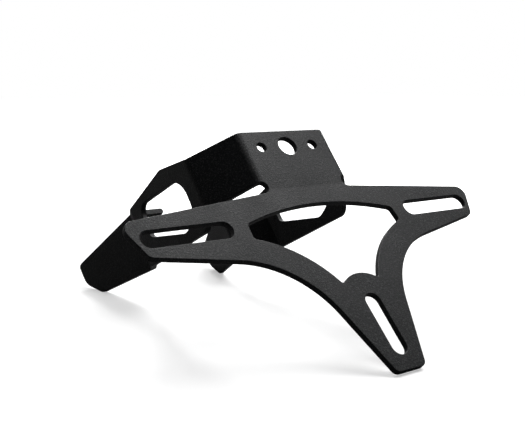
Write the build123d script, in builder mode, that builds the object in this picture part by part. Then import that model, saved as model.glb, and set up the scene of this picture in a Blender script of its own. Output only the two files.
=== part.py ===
# Tail tidy for a motorbike: a number-plate bracket cut from one sheet and folded.
# Millimetres. The part is drawn flat on its plate (x across, y up the plate, z out of its face),
# then turned into the pose in which it rests on the tip of its tail and its two leg tips.
from build123d import *

import os
from math import asin, atan2, cos, degrees, hypot, radians, sin

# Sheet
sheet = 3.0
relief_r = 3.2
relief_x = 25.8
relief_run = 20.0
lap = 1.0  # pieces run into each other by this much before they are joined
over = 6.0  # cutting shapes run past the sheet by this much

# Plate with two arms and a tail
arm_reach = 104.07
arm_end_slant = 7.9
arm_top_in = (27.0, 17.2)
arm_tip_top = (arm_reach, 9.27)
arm_tip_low = (arm_reach - arm_end_slant, -8.72)
arm_root = (28.3, -21.28)
tail_tip = (8.55, -80.8)
arm_tip_top_r = 5.0
arm_tip_low_r = 4.0
arm_root_r = 48.4
tail_tip_r = 3.5

# Slots for the plate screws
arm_slot_in = 29.47
arm_slot_x = arm_reach - arm_slot_in
arm_slot_run = 36.0
arm_slot_w = 8.6
tail_slot_y = -58.0
tail_slot_run = 22.7
tail_slot_w = 8.3

# Opening between the arms and the tail
open_top = 8.7
open_corner = (43.68, 1.64)
open_side = (44.2, -6.22)
open_sweep = (23.9, -18.0)
open_notch = (10.7, -35.4)
bump_top = -31.2
open_corner_r = 2.0
notch_r = 1.2

# Tab above the plate, leaning a little forward
bend_y = 19.0
tab_lean = 4.6
tab_top = 32.9
light_hole_x = 15.6
light_hole_h = 23.8
light_hole_r = 2.6
cable_hole_r = 5.1

# Plan of the folded strip, outer face of the right half, as (across, depth behind the tab)
panel_x = 43.9
wall_start = (relief_x, 0.0)
panel_start = (panel_x, 22.0)
panel_end = (panel_x, 86.0)
leg_start = (31.2, 109.0)
leg_splay = 15.64
leg_length = 52.6
leg_toe_back = 11.2
leg_end_slant = 0.8
wall_bend_r = 2.4
panel_bend_r = 3.0
joggle_bend_r = 2.0

# Side outline of the strip, as (depth, height above the tab's bend)
wall_low = 4.75
wall_top_rear = 34.7
panel_front = 24.8
panel_low_front = (panel_front, -3.3)
panel_low_rear = (panel_end[1], 12.4)
leg_low_root = (leg_start[1], 21.8)
leg_tip = leg_start[1] + leg_length
leg_toe = (leg_tip - leg_toe_back, 31.9)
leg_end_low = (leg_tip - leg_end_slant, 43.6)
leg_end_top = (leg_tip, 57.2)
leg_top_root = (leg_start[1], 58.4)
panel_top_rear = (panel_end[1], 48.2)
panel_peak = (45.9, 45.5)
panel_low_front_r = 6.0
leg_toe_r = 4.0
leg_end_low_r = 12.0
leg_end_top_r = 2.5
panel_peak_r = 8.0

# Small tongue turned inward from the rear edge of each side window
tongue_reach = 10.5
tongue_h = 39.7
tongue_tall = 3.4
tongue_depth = 76.5
tongue_r = 1.5

# Window in each side panel, as (depth, height)
win_front = 32.3
win_front_top = (win_front, 31.2)
win_rear_top = (tongue_depth, 43.6)
win_rear_low = (tongue_depth, 24.3)
win_low = (45.0, 7.0)
win_front_low = (win_front, 9.6)
win_front_top_r = 14.0
win_rear_top_r = 5.0
win_rear_low_r = 4.0
win_low_r = 7.0
win_front_low_r = 8.0


def near(sketch, point):
    return sketch.vertices().sort_by_distance((point[0], point[1], 0))[0]


def mirrored(points):
    return list(points) + [(-x, y) for x, y in reversed(points)]


def inset(points, gap):
    # The same open path moved sideways by gap, with sharp corners.
    lines = []
    for (x0, y0), (x1, y1) in zip(points, points[1:]):
        run = hypot(x1 - x0, y1 - y0)
        ux, uy = (x1 - x0) / run, (y1 - y0) / run
        lines.append((x0 - uy * gap, y0 + ux * gap, ux, uy))
    moved = [lines[0][:2]]
    for (ax, ay, aux, auy), (bx, by, bux, buy) in zip(lines, lines[1:]):
        cross = aux * buy - auy * bux
        step = ((bx - ax) * buy - (by - ay) * bux) / cross
        moved.append((ax + aux * step, ay + auy * step))
    run = hypot(points[-1][0] - points[-2][0], points[-1][1] - points[-2][1])
    ex, ey, eux, euy = lines[-1]
    moved.append((ex + eux * run, ey + euy * run))
    return moved


# Planes of the tab: across by height, across by depth, depth by height
lean = radians(tab_lean)
bend_point = (0, bend_y, 0)
up_dir = (0, cos(lean), sin(lean))
back_dir = (0, sin(lean), -cos(lean))
tab_plane = Plane(origin=bend_point, x_dir=(1, 0, 0), z_dir=(0, -sin(lean), cos(lean)))
plan_plane = Plane(origin=bend_point, x_dir=(1, 0, 0), z_dir=up_dir)
side_plane = Plane(origin=bend_point, x_dir=back_dir, z_dir=(1, 0, 0))
mitre_plane = Plane(origin=bend_point, x_dir=(1, 0, 0), z_dir=(0, cos(lean / 2), sin(lean / 2)))

# Plate: outline, opening and slots, with a stub that runs up into the bend
plate_half = [
    (relief_x, bend_y + 2 * lap), (relief_x, arm_top_in[1]), arm_top_in,
    arm_tip_top, arm_tip_low, arm_root, tail_tip,
]
with BuildPart() as plate:
    with BuildSketch() as plate_face:
        with BuildLine():
            Polyline(*mirrored(plate_half), close=True)
        make_face()
        for side in (1, -1):
            fillet(near(plate_face, (side * arm_root[0], arm_root[1])), arm_root_r)
            fillet(near(plate_face, (side * arm_tip_top[0], arm_tip_top[1])), arm_tip_top_r)
            fillet(near(plate_face, (side * arm_tip_low[0], arm_tip_low[1])), arm_tip_low_r)
            fillet(near(plate_face, (side * tail_tip[0], tail_tip[1])), tail_tip_r)
        with BuildSketch(mode=Mode.PRIVATE) as opening:
            with BuildLine():
                ThreePointArc((-open_corner[0], open_corner[1]), (0, open_top), open_corner)
                Line(open_corner, open_side)
                ThreePointArc(open_side, open_sweep, open_notch)
                ThreePointArc(open_notch, (0, bump_top), (-open_notch[0], open_notch[1]))
                ThreePointArc((-open_notch[0], open_notch[1]), (-open_sweep[0], open_sweep[1]),
                              (-open_side[0], open_side[1]))
                Line((-open_side[0], open_side[1]), (-open_corner[0], open_corner[1]))
            make_face()
            for side in (1, -1):
                fillet(near(opening, (side * open_corner[0], open_corner[1])), open_corner_r)
                fillet(near(opening, (side * open_side[0], open_side[1])), open_corner_r)
                fillet(near(opening, (side * open_notch[0], open_notch[1])), notch_r)
        add(opening.sketch, mode=Mode.SUBTRACT)
        with Locations((-arm_slot_x, 0), (arm_slot_x, 0)):
            SlotCenterToCenter(arm_slot_run, arm_slot_w, mode=Mode.SUBTRACT)
        with Locations((0, tail_slot_y)):
            SlotCenterToCenter(tail_slot_run, tail_slot_w, rotation=90, mode=Mode.SUBTRACT)
    extrude(amount=-sheet)
    split(bisect_by=mitre_plane, keep=Keep.BOTTOM)

# Strip: tab, angled walls, side panels and legs, drawn in plan and trimmed to the side outline
splay = radians(leg_splay)
leg_run = leg_length / cos(splay) + over
leg_end = (leg_start[0] + leg_run * sin(splay), leg_start[1] + leg_run * cos(splay))
outer = [(0, 0), wall_start, panel_start, panel_end, leg_start, leg_end]
inner = inset(outer, sheet)
band = [(-x, y) for x, y in reversed(outer[1:])] + outer[1:]
band = band + list(reversed(inner[1:])) + [(-x, y) for x, y in inner[1:]]
with BuildPart() as strip:
    with BuildSketch(plan_plane) as plan:
        with BuildLine():
            Polyline(*band, close=True)
        make_face()
        for side in (1, -1):
            for spot, small, turn in ((1, wall_bend_r, 1), (2, panel_bend_r, 1),
                                      (3, joggle_bend_r, 1), (4, joggle_bend_r, -1)):
                out_r = small + sheet if turn > 0 else small
                in_r = small if turn > 0 else small + sheet
                fillet(near(plan, (side * outer[spot][0], outer[spot][1])), out_r)
                fillet(near(plan, (side * inner[spot][0], inner[spot][1])), in_r)
    extrude(amount=leg_end_top[1] + over)
    extrude(plan.sketch, amount=panel_low_front[1] - over)
    with BuildSketch(side_plane) as outline:
        with BuildLine():
            Polyline((-over, wall_low), (panel_front, wall_low), panel_low_front, panel_low_rear,
                     leg_low_root, leg_toe, leg_end_low, leg_end_top, leg_top_root, panel_top_rear,
                     panel_peak, (panel_start[1], wall_top_rear), (0, tab_top), (-over, tab_top), close=True)
        make_face()
        fillet(near(outline, panel_low_front), panel_low_front_r)
        fillet(near(outline, leg_toe), leg_toe_r)
        fillet(near(outline, leg_end_low), leg_end_low_r)
        fillet(near(outline, leg_end_top), leg_end_top_r)
        fillet(near(outline, panel_peak), panel_peak_r)
    extrude(amount=panel_start[0] + over, both=True, mode=Mode.INTERSECT)
    with BuildSketch(side_plane) as window:
        with BuildLine():
            Polyline(win_front_top, win_rear_top, win_rear_low, win_low, win_front_low, close=True)
        make_face()
        fillet(near(window, win_front_top), win_front_top_r)
        fillet(near(window, win_rear_top), win_rear_top_r)
        fillet(near(window, win_rear_low), win_rear_low_r)
        fillet(near(window, win_low), win_low_r)
        fillet(near(window, win_front_low), win_front_low_r)
    extrude(amount=panel_start[0] + over, both=True, mode=Mode.SUBTRACT)

# Neck: the part of the tab below the walls, down to the mitre with the plate
with BuildPart() as neck:
    extrude(plan.sketch, amount=wall_low + lap)
    extrude(plan.sketch, amount=-2 * lap)
    with BuildSketch(side_plane):
        Rectangle(2 * (sheet + over), 2 * (wall_low + over))
    extrude(amount=relief_x, both=True, mode=Mode.INTERSECT)
    split(bisect_by=mitre_plane, keep=Keep.TOP)

with BuildPart() as folded:
    add(plate.part)
    add(neck.part)
    add(strip.part)
    # Relief slots where the walls leave the plate
    relief_mid = relief_x + relief_run / 2
    with BuildSketch(tab_plane.offset(over)):
        with Locations((relief_mid, wall_low - relief_r), (-relief_mid, wall_low - relief_r)):
            SlotCenterToCenter(relief_run, 2 * relief_r)
    extrude(amount=-2 * over, mode=Mode.SUBTRACT)
    # Holes for the plate light and its cable
    with BuildSketch(tab_plane.offset(over)):
        with Locations((-light_hole_x, light_hole_h), (light_hole_x, light_hole_h)):
            Circle(light_hole_r)
        with Locations((0, light_hole_h)):
            Circle(cable_hole_r)
    extrude(amount=-2 * over, mode=Mode.SUBTRACT)
    # Tongues on the inner faces of the panels
    face_x = panel_start[0] - sheet
    tongue_plane = tab_plane.offset(-tongue_depth)
    with BuildSketch(tongue_plane):
        for side in (1, -1):
            with Locations((side * (face_x + lap - tongue_reach / 2), tongue_h)):
                RectangleRounded(tongue_reach + 2 * lap, tongue_tall, tongue_r)
    extrude(amount=-sheet)

# Rest pose: the floor touches the back edge of the tail tip and is tangent to the rounded toes
ax, ay = leg_low_root[0] - leg_toe[0], leg_low_root[1] - leg_toe[1]
bx, by = leg_end_low[0] - leg_toe[0], leg_end_low[1] - leg_toe[1]
a_run, b_run = hypot(ax, ay), hypot(bx, by)
mx, my = ax / a_run + bx / b_run, ay / a_run + by / b_run
m_run = hypot(mx, my)
half_angle = asin(abs(ax * my - ay * mx) / (a_run * m_run))
toe_d = leg_toe[0] + mx / m_run * leg_toe_r / sin(half_angle)
toe_h = leg_toe[1] + my / m_run * leg_toe_r / sin(half_angle)
toe_y = bend_y + toe_d * sin(lean) + toe_h * cos(lean)
toe_z = -toe_d * cos(lean) + toe_h * sin(lean)
rise, back = toe_y - tail_tip[1], -(toe_z + sheet)
floor_angle = atan2(rise, back) - asin(leg_toe_r / hypot(rise, back))
posed = Rot(X=90 - degrees(floor_angle)) * folded.part
box = posed.bounding_box()
bracket = Pos(0, -box.center().Y, -box.min.Z) * posed
bracket.label = "tail_tidy_bracket"

os.makedirs("parts", exist_ok=True)
export_step(bracket, "parts/tail_tidy_bracket.step")
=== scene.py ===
from math import radians

import bmesh
import bpy
from mathutils import Matrix, Vector


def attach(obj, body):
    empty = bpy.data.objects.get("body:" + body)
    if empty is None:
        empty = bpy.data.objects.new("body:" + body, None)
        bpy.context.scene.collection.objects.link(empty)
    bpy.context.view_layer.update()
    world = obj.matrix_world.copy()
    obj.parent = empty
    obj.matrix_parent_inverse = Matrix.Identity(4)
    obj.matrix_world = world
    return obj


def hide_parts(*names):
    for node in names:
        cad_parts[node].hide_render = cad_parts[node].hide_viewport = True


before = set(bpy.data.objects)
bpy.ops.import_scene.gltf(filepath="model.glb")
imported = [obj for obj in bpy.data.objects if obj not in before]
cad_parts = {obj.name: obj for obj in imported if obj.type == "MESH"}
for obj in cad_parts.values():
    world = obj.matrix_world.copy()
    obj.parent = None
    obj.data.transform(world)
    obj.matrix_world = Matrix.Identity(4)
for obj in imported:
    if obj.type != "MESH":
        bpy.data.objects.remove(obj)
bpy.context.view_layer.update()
scene = bpy.context.scene
scene.view_settings.view_transform = "Standard"

# Lengths are in metres, colours and strengths in linear light, lamps in watts.

# Camera at the photograph's viewing angle, solved from the flat slotted plate
photo_width_px = 525
focal_px = 841.15
sensor_mm = 36.0
camera_place = Vector((-0.2540, -0.34955, 0.12086))
camera_right = Vector((0.8020, -0.5973, 0.0006))
camera_back = Vector((-0.5892, -0.79095, 0.16509))

# Powder coat, with each noise as (scale, detail, roughness) and each bump as (strength, depth)
coat_specular = 0.16
grain_noise = (1500.0, 2.0, 0.6)
ripple_noise = (420.0, 1.0, 0.5)
cloud_noise = (45.0, 3.0, 0.5)
dark_stop = (0.52, (0.0022, 0.0028, 0.0036, 1))
speck_stop = (0.70, (0.0290, 0.0295, 0.0305, 1))
cloud_span = (0.3, 0.7)
coat_roughness = (0.45, 0.54)
ripple_bump = (0.08, 0.0004)
grain_bump = (0.75, 0.0003)

# Cut edges of the sheet, found by the angle between their faces
edge_radius = 0.00038
edge_steps = 3
cut_angle = radians(40)
flat_angle = radians(0.3)
weld_gap = 1e-6
round_profile = 0.5
face_area_weight = 100

# Floor, whose levels change with the distance from the object's middle
floor_half = 6.0
floor_thrown_back = 0.10
floor_seen = 0.48
shadow_ring = (0.16, 0.55)
shadow_ring_glow = (0.45, 1.0)
mirror_ring = (2.0, 5.5)

# World, where the backdrop's upper edge is a height on the unit sphere
plain_white = (1, 1, 1, 1)
sky_strength = 0.04
white_strength = 1.0
backdrop_edge = (0.02, 0.12)

# Lamps as (name, place, aim, size, watts)
lamps = (
    ("overhead", (0.61, 0.19, 1.35), (0, -0.05, 0.06), (1.6, 1.15), 43.0),
    ("back_rim", (0.32, 1.00, 0.58), (0, 0, 0.03), (0.16, 0.16), 10.0),
    ("right_fill", (0.90, 0.80, 0.45), (0, 0, 0.05), (0.50, 0.40), 8.0),
)


def empty_tree(owner):
    """The node tree of a material or a world, with nothing in it."""
    owner.use_nodes = True
    owner.node_tree.nodes.clear()
    return owner.node_tree


def noise(tree, place, scale, detail, roughness):
    texture = tree.nodes.new("ShaderNodeTexNoise")
    texture.inputs["Scale"].default_value = scale
    texture.inputs["Detail"].default_value = detail
    texture.inputs["Roughness"].default_value = roughness
    tree.links.new(place, texture.inputs["Vector"])
    return texture.outputs["Fac"]


def bump(tree, height, strength, depth):
    relief = tree.nodes.new("ShaderNodeBump")
    relief.inputs["Strength"].default_value = strength
    relief.inputs["Distance"].default_value = depth
    tree.links.new(height, relief.inputs["Height"])
    return relief


def map_range(tree, value, before, after):
    """The value, with the span before turned into the span after."""
    ranged = tree.nodes.new("ShaderNodeMapRange")
    ranged.inputs["From Min"].default_value = before[0]
    ranged.inputs["From Max"].default_value = before[1]
    ranged.inputs["To Min"].default_value = after[0]
    ranged.inputs["To Max"].default_value = after[1]
    tree.links.new(value, ranged.inputs["Value"])
    return ranged.outputs["Result"]


def combine(tree, operation, first, second):
    """Two values brought together by a maths node."""
    maths = tree.nodes.new("ShaderNodeMath")
    maths.operation = operation
    tree.links.new(first, maths.inputs[0])
    tree.links.new(second, maths.inputs[1])
    return maths.outputs["Value"]


def mirror_rays(tree, rays):
    """One for a ray that comes by way of a reflection or through glass, and otherwise nought."""
    return combine(tree, "MAXIMUM", rays["Is Glossy Ray"], rays["Is Transmission Ray"])


def add_camera():
    data = bpy.data.cameras.new("camera")
    data.sensor_fit = "HORIZONTAL"
    data.sensor_width = sensor_mm
    data.lens = focal_px / photo_width_px * sensor_mm
    camera = bpy.data.objects.new("camera", data)
    scene.collection.objects.link(camera)
    right = camera_right.normalized()
    back = (camera_back - right * camera_back.dot(right)).normalized()
    up = back.cross(right)
    turn = Matrix((right, up, back)).transposed()
    camera.matrix_world = Matrix.Translation(camera_place) @ turn.to_4x4()
    scene.camera = camera


def powder_coat():
    """Black powder coat: a sandy grain in the surface, with a few lighter grains."""
    material = bpy.data.materials.new("powder_coat_black")
    tree = empty_tree(material)
    nodes, links = tree.nodes, tree.links
    out = nodes.new("ShaderNodeOutputMaterial")
    bsdf = nodes.new("ShaderNodeBsdfPrincipled")
    bsdf.inputs["Specular IOR Level"].default_value = coat_specular
    place = nodes.new("ShaderNodeTexCoord").outputs["Object"]
    grain = noise(tree, place, *grain_noise)
    ripple = noise(tree, place, *ripple_noise)
    cloud = noise(tree, place, *cloud_noise)

    speck = nodes.new("ShaderNodeValToRGB")
    for stop, (position, colour) in zip(speck.color_ramp.elements, (dark_stop, speck_stop)):
        stop.position = position
        stop.color = colour
    links.new(grain, speck.inputs["Fac"])
    links.new(speck.outputs["Color"], bsdf.inputs["Base Color"])
    links.new(map_range(tree, cloud, cloud_span, coat_roughness), bsdf.inputs["Roughness"])

    soft = bump(tree, ripple, *ripple_bump)
    fine = bump(tree, grain, *grain_bump)
    links.new(soft.outputs["Normal"], fine.inputs["Normal"])
    links.new(fine.outputs["Normal"], bsdf.inputs["Normal"])
    links.new(bsdf.outputs["BSDF"], out.inputs["Surface"])
    return material


def rounded_copy(node):
    """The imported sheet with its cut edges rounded, as a coat of powder leaves them."""
    shape = bmesh.new()
    shape.from_mesh(node.data)
    bmesh.ops.remove_doubles(shape, verts=shape.verts, dist=weld_gap)
    bmesh.ops.dissolve_limit(
        shape, angle_limit=flat_angle, verts=shape.verts[:], edges=shape.edges[:]
    )
    cut_edges = [
        edge for edge in shape.edges
        if len(edge.link_faces) == 2 and edge.calc_face_angle() > cut_angle
    ]
    bmesh.ops.bevel(
        shape, geom=cut_edges, offset=edge_radius, offset_type="OFFSET", segments=edge_steps,
        profile=round_profile, affect="EDGES", clamp_overlap=False,
    )
    for face in shape.faces:
        face.smooth = True
        face.material_index = 0
    mesh = bpy.data.meshes.new("bracket_rounded")
    shape.to_mesh(mesh)
    shape.free()
    copy = bpy.data.objects.new("bracket_rounded", mesh)
    scene.collection.objects.link(copy)
    weighted = copy.modifiers.new("even_normals", "WEIGHTED_NORMAL")
    weighted.mode = "FACE_AREA"
    weighted.weight = face_area_weight
    weighted.keep_sharp = False
    return copy


def floor_material():
    """White floor: it keeps the object's shadow and fades to plain white further out."""
    material = bpy.data.materials.new("studio_white")
    tree = empty_tree(material)
    nodes, links = tree.nodes, tree.links
    out = nodes.new("ShaderNodeOutputMaterial")
    rays = nodes.new("ShaderNodeLightPath").outputs
    to_camera = rays["Is Camera Ray"]
    length = nodes.new("ShaderNodeVectorMath")
    length.operation = "LENGTH"
    links.new(nodes.new("ShaderNodeTexCoord").outputs["Object"], length.inputs[0])
    distance = length.outputs["Value"]

    # Pale to the camera, so that the shadow shows, and dark in the light that it throws back
    diffuse = nodes.new("ShaderNodeBsdfDiffuse")
    shade = map_range(tree, to_camera, (0, 1), (floor_thrown_back, floor_seen))
    links.new(shade, diffuse.inputs["Color"])

    # Plain white to the camera, but less so close to the object, where its shadow falls
    fade = map_range(tree, distance, shadow_ring, shadow_ring_glow)
    seen = combine(tree, "MULTIPLY", to_camera, fade)

    # The far floor is white in reflections too
    far = map_range(tree, distance, mirror_ring, (0, 1))
    mirrored = combine(tree, "MULTIPLY", mirror_rays(tree, rays), far)

    glow = nodes.new("ShaderNodeEmission")
    links.new(combine(tree, "MAXIMUM", seen, mirrored), glow.inputs["Strength"])
    both = nodes.new("ShaderNodeAddShader")
    links.new(diffuse.outputs["BSDF"], both.inputs[0])
    links.new(glow.outputs["Emission"], both.inputs[1])
    links.new(both.outputs["Shader"], out.inputs["Surface"])
    return material


def add_floor():
    mesh = bpy.data.meshes.new("floor")
    corners = [
        (-floor_half, -floor_half, 0), (floor_half, -floor_half, 0),
        (floor_half, floor_half, 0), (-floor_half, floor_half, 0),
    ]
    mesh.from_pydata(corners, [], [(0, 1, 2, 3)])
    mesh.materials.append(floor_material())
    floor = bpy.data.objects.new("floor", mesh)
    scene.collection.objects.link(floor)
    return floor


def studio_world():
    """A dim sky, white to the camera, with a low white backdrop all round in reflections."""
    world = bpy.data.worlds.new("studio")
    tree = empty_tree(world)
    nodes, links = tree.nodes, tree.links
    out = nodes.new("ShaderNodeOutputWorld")
    rays = nodes.new("ShaderNodeLightPath").outputs
    height = nodes.new("ShaderNodeSeparateXYZ")
    links.new(nodes.new("ShaderNodeTexCoord").outputs["Generated"], height.inputs[0])
    backdrop = map_range(tree, height.outputs["Z"], backdrop_edge, (1, 0))
    mirrored = combine(tree, "MULTIPLY", mirror_rays(tree, rays), backdrop)
    mix = nodes.new("ShaderNodeMixShader")
    links.new(combine(tree, "MAXIMUM", rays["Is Camera Ray"], mirrored), mix.inputs["Fac"])
    for socket, strength in ((1, sky_strength), (2, white_strength)):
        background = nodes.new("ShaderNodeBackground")
        background.inputs["Color"].default_value = plain_white
        background.inputs["Strength"].default_value = strength
        links.new(background.outputs["Background"], mix.inputs[socket])
    links.new(mix.outputs["Shader"], out.inputs["Surface"])
    return world


def add_soft_box(name, place, aim, size, watts):
    data = bpy.data.lights.new(name, "AREA")
    data.shape = "RECTANGLE"
    data.size, data.size_y = size
    data.energy = watts
    lamp = bpy.data.objects.new(name, data)
    scene.collection.objects.link(lamp)
    lamp.location = place
    lamp.rotation_euler = (Vector(aim) - Vector(place)).to_track_quat("-Z", "Y").to_euler()


add_camera()

bracket = rounded_copy(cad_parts["tail_tidy_bracket"])
bracket.data.materials.append(powder_coat())
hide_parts("tail_tidy_bracket")
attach(bracket, "root")

floor = add_floor()
scene.world = studio_world()
for lamp in lamps:
    add_soft_box(*lamp)
